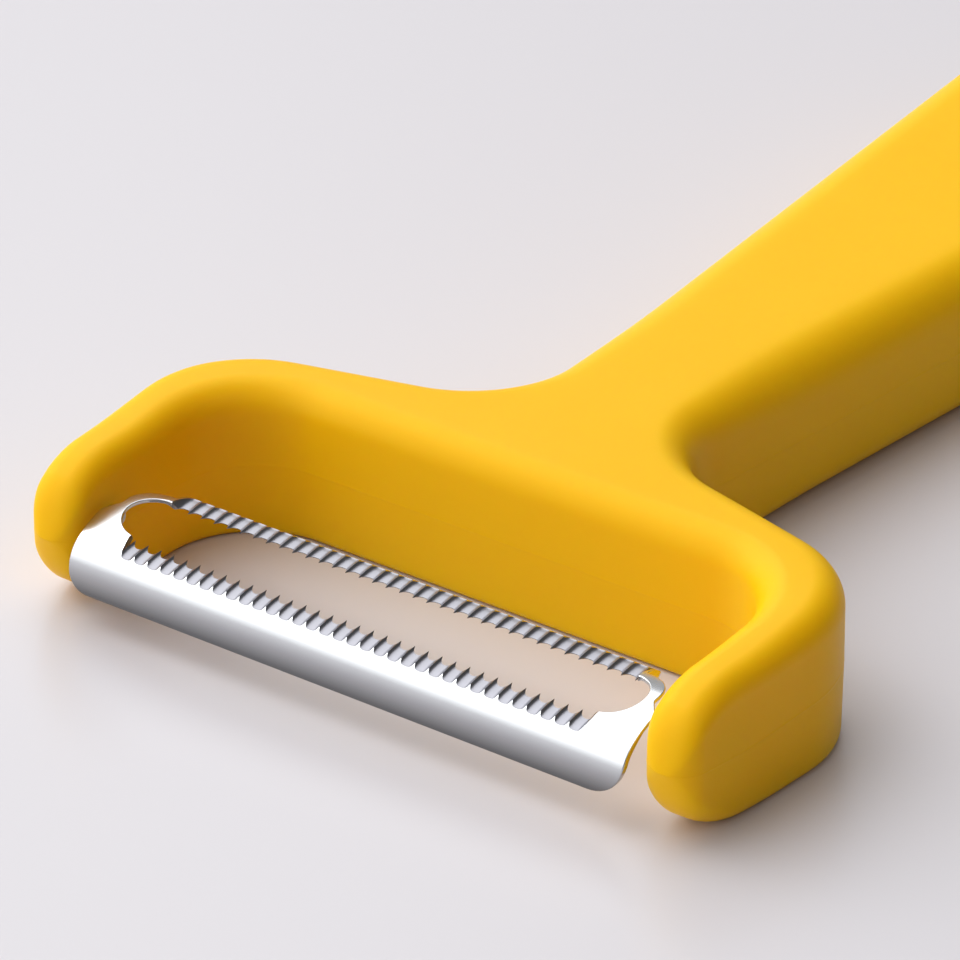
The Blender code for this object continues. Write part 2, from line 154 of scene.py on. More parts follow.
class FrameSettings(bpy.types.PropertyGroup):
    """Sizes and finish of the moulded frame."""

    inner_half: length("Inside Half Width", 31.2, "From the middle to the inner face of an arm")
    arm: length("Arm Thickness", 5.4, "Thickness of an arm at its tip")
    tip_front: length("Tip Reach", 5.8, "How far the arm tips stand in front of the pivot line")
    tip_flat: length("Tip Flat", 0.1, "Half the flat left between the round corners of a tip")
    flare: turn("Arm Flare", 3.5, "Lean of an arm's outer face")
    wall: length("Bridge Wall", 18.3, "Distance of the bridge's inner wall behind the pivot line")
    wall_corner: length("Wall Corner", 9.0, "Inner corner between the bridge and an arm")
    shoulder: length("Shoulder", 22.0, "Where the shoulder lines meet the arms' outer faces")
    shoulder_slope: turn("Shoulder Slope", 15.0, "Slope of the shoulders towards the neck")
    outer_corner: length("Outer Corner", 12.5, "Outer corner between shoulder and arm")
    neck_half: length("Neck Half Width", 8.2, "Half the width of the neck")
    neck_corner: length("Neck Corner", 10.0, "Corner between neck and shoulder")
    taper: turn("Handle Taper", 5.3, "How fast each side of the handle widens")
    end: length("Handle End", 142.0, "Distance of the handle's end behind the pivot line")
    end_flat: length("End Flat", 0.5, "Half the flat left at the handle's end")
    head_height: length("Head Height", 15.5, "Height of the bridge and the handle")
    tip_drop: length("Tip Drop", 1.1, "How much lower the arm tips are than the bridge")
    tip_round: length("Tip Round", 8.0, "Length over which a tip's upper side grows to its full height")
    tip_under: length("Tip Underside", 8.5, "Length over which a tip's underside comes down to the ground")
    arm_edge: length("Arm Edge", 2.3, "Upper edge radius of the arms")
    head_edge: length("Head Edge", 2.9, "Upper edge radius of the bridge")
    handle_edge: length("Handle Edge", 4.9, "Upper edge radius of the handle")
    arm_under: length("Arm Lower Edge", 1.1, "Lower edge radius of the arms")
    head_under: length("Head Lower Edge", 0.9, "Lower edge radius of the bridge")
    handle_under: length("Handle Lower Edge", 2.9, "Lower edge radius of the handle")
    draft: turn("Draft", 0.6, "Lean of the sides away from the parting line")
    parting: length("Parting Line", 7.4, "Height of the mould's parting line")
    witness: length("Witness Height", 0.018, "How far the parting line stands out")
    hole: length("Hole Radius", 3.8, "Radius of the hanging hole")
    hole_inset: length("Hole Inset", 13.0, "Distance of the hole from the handle's end")
    hole_edge: length("Hole Edge", 1.2, "Rounding of the hole's rim")
    socket: length("Socket Radius", 0.9, "Radius of a pivot socket")
    socket_depth: length("Socket Depth", 3.2, "Depth of a pivot socket")
    plastic: colour("Plastic", (1.0, 0.535, 0.003), "Colour of the moulded plastic")


class BladeSettings(bpy.types.PropertyGroup):
    """Sizes and finish of the toothed blade."""

    sheet: length("Sheet", 0.7, "Thickness of the sheet")
    crown: length("Crown Radius", 11.7, "Outer radius of the arched crown")
    crown_turn: turn("Crown Half Angle", 23.4, "Half the angle that the crown spans")
    bend: length("Bend Radius", 3.4, "Outer radius of the bends beside the crown")
    lip_turn: turn("Lip Angle", 84.0, "Slope at which the lips end")
    front_lip: length("Front Lip", 2.05, "Straight length of the front guide lip")
    rear_end: length("Rear End", 7.4, "Distance from the crown at which the rear flange ends")
    half: length("Half Length", 30.6, "Half the length of the blade")
    right_corner: length("Right Corner", 3.7, "Front corner on the right")
    left_corner: length("Left Corner", 1.9, "Front corner on the left")
    step_start: length("Step Start", 1.4, "Where the shoulder beside the slot starts, before the crown")
    step_end: length("Step End", 0.2, "Where that shoulder ends, behind the crown")
    step_round: length("Step Round", 0.8, "Rounding of the shoulder's corners")
    flange_step: length("Flange Step", 3.35, "How far the rear flange ends before the metal round the slot")
    rear_corner: length("Rear Corner", 1.5, "Rear corners of the flange")
    relief: length("Relief", 0.3, "How much thinner the sheet is at the slot's ends")
    ring: length("Ring", 1.0, "Width of the metal round the slot's ends")
    rim: length("Rim", 0.12, "Rounding of the sheet's polished outer edges")
    pitch: length("Tooth Pitch", 1.5, "Distance from tooth to tooth")
    count: bpy.props.IntProperty(name="Teeth", description="Scallops in each row", default=34, min=2)
    slot_half: length("Slot Half Width", 2.95, "From the middle of the slot to the tooth tips")
    bulb: length("Slot End Radius", 2.95, "Radius of the slot's round ends")
    scallop_length: length("Scallop Length", 2.55, "Ground length of a scallop")
    scallop_step: length("Scallop Step", 0.07, "Depth that a scallop gains at its blunt end")
    scallop_nose: length("Scallop Nose", 0.12, "Length of that blunt end")
    scallop_slope: share("Scallop Slope", 0.34, "Depth ground off for each unit of length")
    scallop_wall: length("Scallop Wall", 0.27, "How far a scallop's wall rises to the ridge")
    land: length("Edge Land", 0.05, "Thickness left at the cutting edge")
    crown_height: length("Crown Height", 1.75, "Height of the crown over the pivot line")
    pin: length("Pin Radius", 0.75, "Radius of a pivot pin")
    pin_reach: length("Pin Reach", 2.6, "How far a pin enters its socket")
    pin_root: length("Pin Root", 0.9, "How far a pin runs back under the crown")
    pin_nose: length("Pin Nose", 0.3, "Chamfer at a pin's end")
    end_gap: length("End Gap", 0.6, "Gap between the blade's ends and the arms")
    end_shift: length("End Shift", 0.3, "How far the blade lies to the left within its end play")
    tilt: turn("Tilt", 8.0, "How far the front lip dips at rest")
    steel: colour("Steel", (0.69, 0.70, 0.72), "Colour of the polished steel")
    ground: colour("Ground Steel", (0.33, 0.33, 0.365), "Colour of the ground scallops")
    # painted shade on the front lip: where the darkening starts and where it is deepest
    lip_bright: length("Bright Lip", 6.7, "Distance from the crown at which the front lip starts to darken")
    lip_dark: length("Dark Lip", 10.1, "Distance from the crown at which the front lip is darkest")


class StageSettings(bpy.types.PropertyGroup):
    """Camera, floor and lights."""

    place: bpy.props.FloatVectorProperty(name="Camera Place", description="Camera seen from the pivot line",
                                         default=(0.27361, -0.35208, 0.26349), subtype="TRANSLATION",
                                         precision=5)
    lens: bpy.props.FloatProperty(name="Lens", description="Focal length", default=219.4, unit="CAMERA")
    azimuth: turn("Azimuth", 36.76, "Direction of the camera round the peeler")
    elevation: turn("Elevation", 28.45, "Height of the camera above the floor, as an angle")
    floor: colour("Floor", (0.685, 0.66, 0.69), "Colour of the floor")


class Value:
    """A socket in a node tree that Python's operators extend with Math nodes."""

    def __init__(self, tree, socket):
        self.tree = tree
        self.socket = socket

    def math(self, operation, *values):
        node = self.tree.nodes.new("ShaderNodeMath")
        node.operation = operation
        for place, value in zip(node.inputs, values):
            connect(self.tree, value, place)
        return Value(self.tree, node.outputs[0])

    def __add__(self, other):
        return self.math("ADD", self, other)

    def __radd__(self, other):
        return self.math("ADD", other, self)

    def __sub__(self, other):
        return self.math("SUBTRACT", self, other)

    def __rsub__(self, other):
        return self.math("SUBTRACT", other, self)

    def __mul__(self, other):
        return self.math("MULTIPLY", self, other)

    def __rmul__(self, other):
        return self.math("MULTIPLY", other, self)

    def __truediv__(self, other):
        return self.math("DIVIDE", self, other)

    def __abs__(self):
        return self.math("ABSOLUTE", self)

    def __lt__(self, other):
        return self.math("LESS_THAN", self, other)

    def least(self, other):
        return self.math("MINIMUM", self, other)

    def most(self, other):
        return self.math("MAXIMUM", self, other)

    def sine(self):
        return self.math("SINE", self)

    def cosine(self):
        return self.math("COSINE", self)

    def sign(self):
        return self.math("SIGN", self)


def connect(tree, value, socket):
    """Link a Value to the socket, or set the socket's own value."""
    if isinstance(value, Value):
        tree.links.new(value.socket, socket)
    elif value is not None:
        socket.default_value = value


class Wiring:
    """Adds nodes to one tree."""

    def __init__(self, tree):
        self.tree = tree

    def add(self, kind, settings=None, inputs=None, output=0):
        """Add a node: its settings first, then the values or links of its sockets."""
        node = self.tree.nodes.new(kind)
        for name, value in (settings or {}).items():
            setattr(node, name, value)
        for name, value in (inputs or {}).items():
            connect(self.tree, value, node.inputs[name])
        self.last = node
        return Value(self.tree, node.outputs[output])

    def noise(self, place, scale, detail):
        """Smooth random values over a place."""
        return self.add("ShaderNodeTexNoise", {}, {"Vector": place, "Scale": scale, "Detail": detail})

    def blend(self, factor, first, second):
        """Mix two colours, through the colour sockets of a Mix node."""
        tones = [(*tone, 1.0) if isinstance(tone, tuple) else tone for tone in (first, second)]
        return self.add("ShaderNodeMix", {"data_type": "RGBA"}, {0: factor, 6: tones[0], 7: tones[1]}, 2)

    def parts(self, vector):
        """X, Y and Z of a vector."""
        self.add("ShaderNodeSeparateXYZ", {}, {"Vector": vector})
        return [Value(self.tree, place) for place in self.last.outputs]

    def ease(self, value, start, end, low, high):
        """Smooth step from low to high while the value goes from start to end."""
        return self.add("ShaderNodeMapRange", {"interpolation_type": "SMOOTHSTEP"}, {
            "Value": value, "From Min": start, "From Max": end, "To Min": low, "To Max": high})


def new_material(name):
    """An empty material with its wiring and its output's surface socket."""
    material = bpy.data.materials.new(name)
    material.use_nodes = True
    tree = material.node_tree
    tree.nodes.clear()
    output = tree.nodes.new("ShaderNodeOutputMaterial")
    return material, Wiring(tree), output.inputs["Surface"]


def plastic_material(settings):
    """Satin moulded plastic with a fine orange peel."""
    material, wires, surface = new_material("moulded_plastic")
    place = wires.add("ShaderNodeTexCoord", output="Object")
    peel = wires.noise(place, scale=900.0, detail=2.0)
    waves = wires.noise(place, scale=160.0, detail=1.0)
    patches = wires.noise(place, scale=60.0, detail=3.0)
    bump = wires.add("ShaderNodeBump", {}, {
        "Strength": 0.28, "Distance": 0.1 * MM, "Height": 0.35 * peel + 0.65 * waves}, "Normal")
    deep = tuple(0.94 * part for part in settings.plastic)
    tone = wires.blend(patches, tuple(settings.plastic), deep)
    shader = wires.add("ShaderNodeBsdfPrincipled", {}, {
        "Base Color": tone, "Roughness": 0.34 + 0.12 * patches, "Normal": bump,
        "Subsurface Weight": 0.4, "Subsurface Radius": (1.0, 0.6, 0.1), "Subsurface Scale": 5.0 * MM,
        "Specular IOR Level": 0.12, "IOR": 1.49})
    connect(wires.tree, shader, surface)
    return material


def steel_material(settings):
    """Polished stainless steel with faint marks of the polishing wheel along the blade; painted shade on
    the front lip.
    """
    material, wires, surface = new_material("polished_steel")
    place = wires.add("ShaderNodeTexCoord", output="Object")
    stretched = wires.add("ShaderNodeMapping", {}, {"Vector": place, "Scale": (0.12, 1.0, 1.0)})
    marks = wires.noise(stretched, scale=5200.0, detail=3.0)
    bloom = wires.noise(place, scale=90.0, detail=2.0)
    bump = wires.add("ShaderNodeBump", {}, {
        "Strength": 0.05, "Distance": 0.02 * MM, "Height": marks}, "Normal")
    ground = wires.add("ShaderNodeAttribute", {"attribute_name": "ground"}, {}, "Fac")
    across = wires.add("ShaderNodeAttribute", {"attribute_name": "across"}, {}, "Fac")
    # painted shade: the steel's colour darkens over the front lip towards its lower edge, standing in for a
    # dim reflection
    dark = wires.add("ShaderNodeMapRange", {}, {
        "Value": across, "From Min": -settings.lip_bright, "From Max": -settings.lip_dark})
    painted_shade_steel = tuple(0.24 * part for part in settings.steel)
    tone = wires.blend(dark, tuple(settings.steel), painted_shade_steel)
    tone = wires.blend(ground, tone, tuple(settings.ground))
    shader = wires.add("ShaderNodeBsdfPrincipled", {}, {
        "Base Color": tone, "Metallic": 1.0, "Normal": bump,
        "Roughness": 0.14 + 0.07 * bloom + 0.04 * marks + 0.12 * ground})
    connect(wires.tree, shader, surface)
    return material


def rounded_path(corners, line_step, arc_step):
    """(point, direction) along an open path through corners (x, y, radius), rounded by arcs."""
    path = []
    start = Vector(corners[0][:2])
    for index in range(1, len(corners) - 1):
        corner = Vector(corners[index][:2])
        back = (Vector(corners[index - 1][:2]) - corner).normalized()
        ahead = (Vector(corners[index + 1][:2]) - corner).normalized()
        radius = corners[index][2]
        half = back.angle(ahead) / 2
        centre = corner + (back + ahead).normalized() * radius / math.sin(half)
        touch = corner + back * (radius / math.tan(half))
        path += straight(start, touch, line_step)
        sweep = math.pi - 2 * half
        steps = max(2, math.ceil(sweep / arc_step))
        signed = math.copysign(sweep, -back.cross(ahead))
        arm = touch - centre
        for step in range(steps + 1):
            spin = Matrix.Rotation(signed * step / steps, 2)
            path.append((centre + spin @ arm, spin @ -back))
        start = path.pop()[0]
    path += straight(start, Vector(corners[-1][:2]), line_step)
    path.append((Vector(corners[-1][:2]), path[-1][1]))
    return path


def straight(start, end, line_step):
    """(point, direction) along a line, without its last point."""
    span = end - start
    if span.length < MERGE / 1000:
        return []
    steps = max(1, math.ceil(span.length / line_step))
    return [(start + span * step / steps, span.normalized()) for step in range(steps)]


def mirrored_loop(right, left):
    """Close a right half path with the mirror image of a left one."""
    back = [(Vector((-point.x, point.y)), Vector((along.x, -along.y))) for point, along in left[-2:0:-1]]
    return right + back


def smooth(value, low, high):
    """Smooth step from 0 at low to 1 at high."""
    part = min(1.0, max(0.0, (value - low) / (high - low)))
    return part * part * (3 - 2 * part)


def inside(point, loop):
    """True when the point lies inside the loop."""
    result = False
    for index, corner in enumerate(loop):
        before = loop[index - 1]
        if (corner.y > point.y) != (before.y > point.y):
            cross = (before.x - corner.x) * (point.y - corner.y) / (before.y - corner.y) + corner.x
            if point.x < cross:
                result = not result
    return result


def fill_plan(points, edges, outer, holes=()):
    """Constrained triangles inside the outer loop and outside the holes."""
    found = delaunay_2d_cdt([point / MM for point in points], edges, [], 0, 1e-5)
    places = [Vector(point) * MM for point in found[0]]
    faces = []
    for face in found[2]:
        middle = sum((places[index] for index in face), Vector((0, 0))) / len(face)
        if inside(middle, outer) and not any(inside(middle, hole) for hole in holes):
            faces.append(face)
    return places, faces


def loop_edges(start, count):
    """Edges of a closed loop of count points that begins at index start."""
    return [(start + step, start + (step + 1) % count) for step in range(count)]


class FrameForm:
    """Form of the moulded frame, worked out from its settings."""

    def __init__(self, sizes):
        self.sizes = sizes

    def outline(self):
        """Plan outline as (point, direction), solid on its left."""
        s = self.sizes
        tip_outer = s.inner_half + s.arm
        corner = s.arm / 2 - s.tip_flat
        outer = tip_outer + math.tan(s.flare) * (s.shoulder + s.tip_front)
        neck_y = s.shoulder + math.tan(s.shoulder_slope) * (outer - s.neck_half)
        end_half = s.neck_half + math.tan(s.taper) * (s.end - neck_y)
        end_corner = (end_half - s.end_flat) * math.tan((math.pi / 2 - s.taper) / 2)
        half = rounded_path([
            (0.0, s.wall),
            (s.inner_half, s.wall, s.wall_corner),
            (s.inner_half, -s.tip_front, corner),
            (tip_outer, -s.tip_front, corner),
            (outer, s.shoulder, s.outer_corner),
            (s.neck_half, neck_y, s.neck_corner),
            (end_half, s.end, end_corner),
            (0.0, s.end),
        ], FRAME_LINE, FRAME_ARC)
        return mirrored_loop(half, half)

    def heights(self, y):
        """Lowest and highest level at a distance from the pivot line."""
        s = self.sizes
        rise = smooth(y, s.tip_round - s.tip_front, s.wall)
        top = s.head_height - s.tip_drop * (1 - rise)
        middle = (s.head_height - s.tip_drop) / 2
        low = middle * (1 - self.nose(y, s.tip_under, UNDER_POWER))
        if y < s.tip_round - s.tip_front:
            top = middle * (1 + self.nose(y, s.tip_round, UPPER_POWER))
        return low, top

    def nose(self, y, reach, power):
        """Share of the full half height at a distance from the pivot line, on a round nose."""
        part = min(NOSE_SHARE, max(0.0, (reach - self.sizes.tip_front - y) / reach))
        return (1 - part ** power) ** (1 / power)

    def edge(self, y, upper):
        """Radius of the upper or lower rounded edge at a distance from the pivot line."""
        s = self.sizes
        if upper:
            arm, head, handle = s.arm_edge, s.head_edge, s.handle_edge
        else:
            round_share = 1 - smooth(y, -s.tip_front, s.tip_round)
            arm = s.arm_under + (s.arm_edge - s.arm_under) * round_share
            head, handle = s.head_under, s.handle_under
        widened = arm + (head - arm) * smooth(y, s.tip_round - s.tip_front, s.wall)
        return widened + (handle - head) * smooth(y, HANDLE_EDGE_START, HANDLE_EDGE_END)

    def ring(self, loop, angle, upper):
        """One ring of the skin, at an angle from the flat face round the edge to the side."""
        ring = []
        for point, along in loop:
            normal = Vector((along.y, -along.x))
            radius = self.edge(point.y, upper)
            low, high = self.heights(point.y)
            side = max(0.0, (high - low) / 2 - radius)
            inset = math.tan(self.sizes.draft) * side + radius * (1 - math.sin(angle))
            place = point - normal * inset
            low, high = self.heights(place.y)
            drop = min(radius, EDGE_LIMIT * (high - low)) * (1 - math.cos(angle))
            ring.append(Vector((place.x, place.y, high - drop if upper else low + drop)))
        return ring

    def witness(self, loop, offset, proud):
        """One ring of the parting line, at an offset from its level."""
        ring = []
        for point, along in loop:
            place = point + Vector((along.y, -along.x)) * proud
            low, high = self.heights(point.y)
            level = low + (high - low) * self.sizes.parting / self.heights(self.sizes.wall)[1]
            shrink = ((high - low) / self.sizes.head_height) ** 2
            ring.append(Vector((place.x, place.y, level + offset * shrink)))
        return ring

    def rings(self):
        """All rings of the skin from the underside up."""
        loop = self.outline()
        quarter = [math.pi / 2 * step / EDGE_STEPS for step in range(EDGE_STEPS + 1)]
        rings = [self.ring(loop, angle, False) for angle in quarter]
        for offset, proud in PARTING_RINGS:
            rings.append(self.witness(loop, offset * MM, proud * self.sizes.witness))
        return rings + [self.ring(loop, angle, True) for angle in reversed(quarter)]

    def hole_circle(self, radius):
        """Points of a circle round the hanging hole's axis."""
        centre = Vector((0.0, self.sizes.end - self.sizes.hole_inset))
        angles = [2 * math.pi * step / HOLE_SIDES for step in range(HOLE_SIDES)]
        return [centre + Vector((radius * math.cos(angle), radius * math.sin(angle))) for angle in angles]

    def cap(self, skin, row, upper):
        """Fill the flat face inside the last ring, but not the hole; returns the hole's rim."""
        plan = [vertex.co.to_2d() for vertex in row]
        rim = self.hole_circle(self.sizes.hole + self.sizes.hole_edge)
        points = plan + rim
        edges = loop_edges(0, len(plan)) + loop_edges(len(plan), len(rim))
        low_y = min(point.y for point in plan)
        lines = int((max(point.y for point in plan) - low_y) / CAP_GRID)
        half_columns = int(max(point.x for point in plan) / CAP_GRID)
        for line in range(lines):
            for column in range(-half_columns, half_columns + 1):
                spot = Vector((column * CAP_GRID, low_y + (line + 0.5) * CAP_GRID))
                near = min((spot - point).length for point in points)
                if near > CAP_CLEARANCE and inside(spot, plan) and not inside(spot, rim):
                    points.append(spot)
        places, faces = fill_plan(points, edges, plan, [rim])
        vertices = list(row)
        for place in places[len(row):]:
            low, high = self.heights(place.y)
            vertices.append(skin.verts.new((place.x, place.y, high if upper else low)))
        for face in faces:
            corners = [vertices[index] for index in face]
            skin.faces.new(corners if upper else corners[::-1])
        return vertices[len(row):len(row) + len(rim)]

    def hole_wall(self, skin, upper_rim, lower_rim):
        """Rounded rims and bore of the hanging hole."""
        s = self.sizes
        quarter = [math.pi / 2 * step / HOLE_STEPS for step in range(1, HOLE_STEPS + 1)]
        levels = [(s.hole + s.hole_edge * (1 - math.sin(angle)), s.hole_edge * (1 - math.cos(angle)))
                  for angle in quarter]
        upper_levels = [(radius, s.head_height - depth) for radius, depth in reversed(levels)]
        rows = [lower_rim]
        for radius, level in levels + upper_levels:
            rows.append([skin.verts.new((*point, level)) for point in self.hole_circle(radius)])
        rows.append(upper_rim)
        join_rows(skin, rows, inward=True)

    def skin(self):
        """The whole closed skin as a bmesh, before the pivot sockets are cut."""
        skin = bmesh.new()
        rows = [[skin.verts.new(place) for place in ring] for ring in self.rings()]
        join_rows(skin, rows)
        lower = self.cap(skin, rows[0], False)
        upper = self.cap(skin, rows[-1], True)
        self.hole_wall(skin, upper, lower)
        return skin


def join_rows(mesh_data, rows, inward=False):
    """Bridge closed rows of vertices with faces."""
    for lower, upper in zip(rows, rows[1:]):
        for index in range(len(lower)):
            following = (index + 1) % len(lower)
            corners = [lower[index], lower[following], upper[following], upper[index]]
            mesh_data.faces.new(corners[::-1] if inward else corners)


def add_object(name, mesh_data, material=None):
    """Link a smooth shaded object made of a bmesh."""
    mesh = bpy.data.meshes.new(name)
    mesh_data.to_mesh(mesh)
    mesh_data.free()
    mesh.shade_smooth()
    if material:
        mesh.materials.append(material)
    item = bpy.data.objects.new(name, mesh)
    bpy.context.scene.collection.objects.link(item)
    return item


def finished_mesh(item, name):
    """The object's evaluated shape as a plain object; the first one is removed."""
    bpy.context.view_layer.update()
    graph = bpy.context.evaluated_depsgraph_get()
    mesh = bpy.data.meshes.new_from_object(item.evaluated_get(graph))
    mesh.name = name
    bpy.data.objects.remove(item, do_unlink=True)
    result = bpy.data.objects.new(name, mesh)
    bpy.context.scene.collection.objects.link(result)
    return result


def rod(start, axis, profile):
    """Solid of revolution from (radius, along) pairs."""
    data = bmesh.new()
    turned = axis.to_track_quat("Z", "Y").to_matrix()
    angles = [2 * math.pi * side / ROD_SIDES for side in range(ROD_SIDES)]
    rows = []
    for radius, along in profile:
        ring = [Vector((radius * math.cos(angle), radius * math.sin(angle), along)) for angle in angles]
        rows.append([data.verts.new(start + turned @ place) for place in ring])
    join_rows(data, rows)
    data.faces.new(rows[0][::-1])
    data.faces.new(rows[-1])
    return data


class SheetForm:
    """Developed form of the blade: X along it, Y across the flat sheet, 0 on the crown's middle line."""

    def __init__(self, sizes):
        self.sizes = sizes
        self.row_half = sizes.pitch * sizes.count / 2
        self.ground_end = sizes.slot_half + sizes.scallop_length
        self.strip = self.ground_end + STRIP_MARGIN
        crown_end = sizes.crown * sizes.crown_turn
        self.bend_end = crown_end + sizes.bend * (sizes.lip_turn - sizes.crown_turn)

    def outline(self):
        """Outer outline as (point, direction), metal on its left."""
        s = self.sizes
        front = -(self.bend_end + s.front_lip)
        ring_s = s.bulb + s.ring
        ring_x = self.row_half + ring_s
        flange_x = ring_x - s.flange_step
        right, left = (rounded_path([
            (0.0, front),
            (s.half, front, corner),
            (s.half, -s.step_start, s.step_round),
            (ring_x, s.step_end, s.step_round),
            (ring_x, ring_s, s.flange_step - FLANGE_STRAIGHT),
            (flange_x, ring_s, FLANGE_CORNER),
            (flange_x, s.rear_end, s.rear_corner),
            (0.0, s.rear_end),
        ], BLADE_LINE, BLADE_ARC) for corner in (s.right_corner, s.left_corner))
        return mirrored_loop(right, left)

    def sag(self, offset):
        """How far a scallop's wall rises at an offset from its middle."""
        s = self.sizes
        return s.scallop_wall * (2 * abs(offset) / s.pitch) ** SCALLOP_POWER

    def sunk(self, run):
        """Depth of a scallop's middle line at a distance from its end."""
        s = self.sizes
        return s.scallop_slope * run + s.scallop_step * (1 - math.exp(-max(0.0, run) / s.scallop_nose))

    def start(self, offset):
        """Distance from the crown at which a scallop leaves the polished face."""
        sag = self.sag(offset)
        low, high = 0.0, sag / self.sizes.scallop_slope
        for _ in range(HALVINGS):
            middle = (low + high) / 2
            if self.sunk(middle) < sag:
                low = middle
            else:
                high = middle
        return self.ground_end - high

    def cut(self, offset):
        """Distance from the crown of the cutting edge."""
        s = self.sizes
        through = s.sheet - s.land + self.sag(offset) - s.scallop_step
        return max(s.slot_half, self.ground_end - through / s.scallop_slope)

    def ground_depth(self, offset, across):
        """Depth ground off the outer face."""
        return max(0.0, self.sunk(self.ground_end - abs(across)) - self.sag(offset))

    def ground_facing(self, offset, across):
        """Direction that a scallop's wall faces, in the developed sheet."""
        s = self.sizes
        lean = math.copysign(SCALLOP_POWER * self.sag(offset) / max(abs(offset), MERGE), offset)
        run = max(0.0, self.ground_end - abs(across))
        slope = s.scallop_slope + s.scallop_step / s.scallop_nose * math.exp(-run / s.scallop_nose)
        return Vector((-lean, -math.copysign(slope, across), 1.0)).normalized()

    def levels(self, offset):
        """Distances of a tooth's rows of points, from the cutting edge to the strip's border."""
        cut, start = self.cut(offset), self.start(offset)
        ground = [start - (start - cut) * (1 - step / GROUND_ROWS) ** GROUND_CROWDING
                  for step in range(GROUND_ROWS)]
        plain = [start + (self.strip - start) * step / PLAIN_ROWS for step in range(PLAIN_ROWS + 1)]
        return ground + plain

    def tooth(self, name):
        """One scallop of the front row with the polished strip in front of it."""
        s = self.sizes
        offsets = [s.pitch * (column / TOOTH_COLUMNS - 0.5) for column in range(TOOTH_COLUMNS + 1)]
        rows = len(self.levels(0.0))
        patch = Patch()
        for offset in offsets:
            slope = (self.cut(offset + EDGE_PROBE) - self.cut(offset - EDGE_PROBE)) / (2 * EDGE_PROBE)
            for index, level in enumerate(self.levels(offset)):
                depth = self.ground_depth(offset, level) if index < GROUND_ROWS else 0.0
                side = Vector((slope, 1.0, 0.0)).normalized() if index == 0 else Vector()
                patch.point((offset, -level), depth, 0.0, side)
        for column in range(TOOTH_COLUMNS):
            for row in range(rows - 1):
                first = column * rows + row
                corners = (first + 1, first + 1 + rows, first + rows, first)
                facings = [UP] * 4
                if row < GROUND_ROWS:
                    facings = [self.ground_facing(patch.places[index][0], patch.places[index][1])
                               for index in corners]
                patch.face(corners, facings, [-UP] * 4, row < GROUND_ROWS)
        return patch.build(name)

    def surround(self, name):
        """The sheet round both toothed strips and the slot's round ends."""
        plan, outer, hole, outer_rims = self.lay_out()
        places, faces = fill_plan(plan.points, plan.edges, outer, [hole])
        rims = [outer_rims.get(index) or self.bulb_rim(place) for index, place in enumerate(places)]
        patch = Patch()
        for place, (side, angle) in zip(places, rims):
            drop = self.sizes.rim * (1 - math.cos(angle)) if angle is not None else 0.0
            ground = self.end_ground(place)
            under = drop * max(0.0, 1 - ground / RIM_FADE) + self.relief(place)
            patch.point(tuple(place), max(drop, ground), under, side)
        for face in faces:
            middle = sum((places[index] for index in face), Vector((0, 0))) / len(face)
            ground = self.end_ground(middle) > 0
            rounded = all(rims[index][1] is not None for index in face)
            facings = []
            unders = []
            for index in face:
                side, angle = rims[index]
                lean = angle if rounded else 0.0
                facing = side * math.sin(lean) + UP * math.cos(lean)
                if ground:
                    facing = self.ground_facing(self.end_offset(places[index].x), places[index].y)
                facings.append(facing)
                unders.append(side * math.sin(lean) - UP * math.cos(lean))
            patch.face(face, facings, unders, ground)
        return patch.build(name)

    def lay_out(self):
        """Plan to fill, its outer loop and hole, and the outer rim's (direction, angle) by point."""
        s = self.sizes
        loop = self.outline()
        plan = Plan()
        rims = {}
        for angle in RIM_ANGLES:
            inset = s.rim * (1 - math.sin(angle))
            ring = []
            for point, along in loop:
                side = Vector((along.y, -along.x, 0.0))
                rims[len(plan.points) + len(ring)] = (side, angle)
                ring.append(point - side.to_2d() * inset)
            plan.add_loop(ring)
        outer = plan.points[:len(loop)]
        hole = self.hole_loop()
        plan.add_loop(hole)
        for side in (-1, 1):
            # the first rim angle has no inset, and its line is the hole's own
            for angle in RIM_ANGLES[1:]:
                plan.add_line(self.bulb_arc(side, s.bulb + s.rim * (1 - math.sin(angle))))
            for edge in (-1, 1):
                plan.add_line(self.last_wall(side, edge))
        self.add_grid(plan.points, outer, hole)
        return plan, outer, hole, rims

    def end_ground(self, place):
        """Depth that the last scallop takes off the outer face past the end of its row."""
        if abs(place.x) < self.row_half:
            return 0.0
        return self.ground_depth(self.end_offset(place.x), place.y)

    def relief(self, place):
        """How much thinner the sheet is beside the slot's round ends."""
        beyond = smooth(abs(place.x), self.row_half, self.row_half + RELIEF_RUN)
        return self.sizes.relief * beyond * (1 - smooth(abs(place.y), self.sizes.bulb, self.ground_end))

    def end_offset(self, x):
        """Offset from the middle of the last scallop of a row."""
        last = self.row_half - self.sizes.pitch / 2
        return x - math.copysign(last, x)

    def bulb_arc(self, side, radius):
        """Points round an end of the slot, from the front to the rear."""
        arc = []
        for step in range(1, BULB_STEPS):
            angle = math.pi * (step / BULB_STEPS - 0.5)
            reach = self.row_half + radius * math.cos(angle)
            arc.append(Vector((side * reach, radius * math.sin(angle))))
        return arc

    def bulb_rim(self, place):
        """(direction, angle) of the rounded rim at an end of the slot, or no angle away from it."""
        s = self.sizes
        arm = Vector((abs(place.x) - self.row_half, place.y))
        inset = arm.length - s.bulb
        if arm.x < 0 or inset > s.rim * RIM_SLACK:
            return Vector(), None
        inward = Vector((-math.copysign(arm.x, place.x), -arm.y, 0.0)).normalized()
        return inward, math.asin(min(1.0, max(0.0, 1 - inset / s.rim)))

    def hole_loop(self):
        """Loop round both toothed strips and the slot's ends."""
        s = self.sizes
        columns = s.count * TOOTH_COLUMNS
        row = [self.row_half * (2 * step / columns - 1) for step in range(columns + 1)]
        front = [Vector((x, -self.strip)) for x in row]
        side = [Vector((self.row_half, -level)) for level in reversed(self.levels(s.pitch / 2))]
        right = front + side[1:] + self.bulb_arc(1, s.bulb)
        left = [Vector((-point.x, -point.y)) for point in right]
        return right + left

